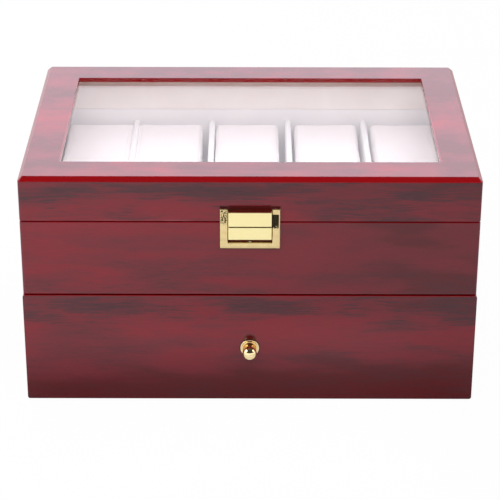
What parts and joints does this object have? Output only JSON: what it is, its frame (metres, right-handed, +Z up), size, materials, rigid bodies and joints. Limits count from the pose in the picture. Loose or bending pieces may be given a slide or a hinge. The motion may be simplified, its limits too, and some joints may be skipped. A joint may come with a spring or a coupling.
{
  "type": "watch display box",
  "caption": "Lacquered wooden display box with a glazed hinged lid over a divided, cushioned tray, a cushioned drawer below, a front clasp and a turned knob.",
  "frame": {"origin": "centre of the box's footprint, on the underside of the case's bottom board", "axes": "+X to the right along the width, -Y out of the front with the clasp and the knob, +Z up"},
  "size_m": [0.291, 0.2208, 0.158],
  "materials": {
    "lacquered_wood": "dark red-brown stain with grey-brown grain under clear gloss lacquer",
    "bare_board": "plain sanded board",
    "velvet_lining": "short-pile velvet on card, pale beige",
    "cushion_cover": "soft short-pile cover, off-white",
    "window_glass": "clear, polished",
    "gilt_metal": "polished gold plating",
    "spring_steel": "plain wire"
  },
  "bodies": {
    "case": {"case_left_wall": "lacquered_wood", "case_right_wall": "lacquered_wood", "case_back_wall": "lacquered_wood", "tray_front_wall": "lacquered_wood", "case_bottom_board": "bare_board", "tray_floor_board": "bare_board", "tray_lining": "velvet_lining", "tray_long_divider": "velvet_lining", "tray_cross_divider_1": "velvet_lining", "tray_cross_divider_2": "velvet_lining", "tray_cross_divider_3": "velvet_lining", "tray_cross_divider_4": "velvet_lining", "tray_cushion_back_1": "cushion_cover", "tray_cushion_back_2": "cushion_cover", "tray_cushion_back_3": "cushion_cover", "tray_cushion_back_4": "cushion_cover", "tray_cushion_back_5": "cushion_cover", "tray_cushion_front_1": "cushion_cover", "tray_cushion_front_2": "cushion_cover", "tray_cushion_front_3": "cushion_cover", "tray_cushion_front_4": "cushion_cover", "tray_cushion_front_5": "cushion_cover", "hinge_left_case_leaf": "gilt_metal", "hinge_right_case_leaf": "gilt_metal", "hinge_left_pin": "gilt_metal", "hinge_right_pin": "gilt_metal", "clasp_frame": "gilt_metal", "clasp_pin": "gilt_metal", "clasp_spring": "spring_steel"},
    "lid": {"lid_top_board": "lacquered_wood", "lid_front_rail": "lacquered_wood", "lid_back_rail": "lacquered_wood", "lid_left_rail": "lacquered_wood", "lid_right_rail": "lacquered_wood", "lid_glass": "window_glass", "lid_lining": "velvet_lining", "hinge_left_lid_leaf": "gilt_metal", "hinge_right_lid_leaf": "gilt_metal", "clasp_strike": "gilt_metal"},
    "drawer": {"drawer_front": "lacquered_wood", "drawer_left_side": "bare_board", "drawer_right_side": "bare_board", "drawer_back": "bare_board", "drawer_bottom": "bare_board", "drawer_lining": "velvet_lining", "drawer_divider_grid": "velvet_lining", "drawer_cushion_back_1": "cushion_cover", "drawer_cushion_back_2": "cushion_cover", "drawer_cushion_back_3": "cushion_cover", "drawer_cushion_back_4": "cushion_cover", "drawer_cushion_back_5": "cushion_cover", "drawer_cushion_front_1": "cushion_cover", "drawer_cushion_front_2": "cushion_cover", "drawer_cushion_front_3": "cushion_cover", "drawer_cushion_front_4": "cushion_cover", "drawer_cushion_front_5": "cushion_cover", "knob": "gilt_metal", "knob_screw": "gilt_metal"},
    "lever": {"clasp_lever": "gilt_metal"}
  },
  "joints": [
    {"name": "lid_hinge", "type": "hinge", "parent": "case", "child": "lid", "pos_m": [0, 0.1036, 0.128], "axis": [-1, 0, 0], "range_deg": [0, 95]},
    {"name": "drawer_slide", "type": "slide", "parent": "case", "child": "drawer", "axis": [0, -1, 0], "range_m": [0, 0.15]},
    {"name": "clasp_lever_pivot", "type": "hinge", "parent": "case", "child": "lever", "pos_m": [0, -0.10305, 0.12255], "axis": [1, 0, 0], "range_deg": [0, 7], "stiffness_Nm_per_rad": 0.02, "springref_deg": -5.73}
  ]
}
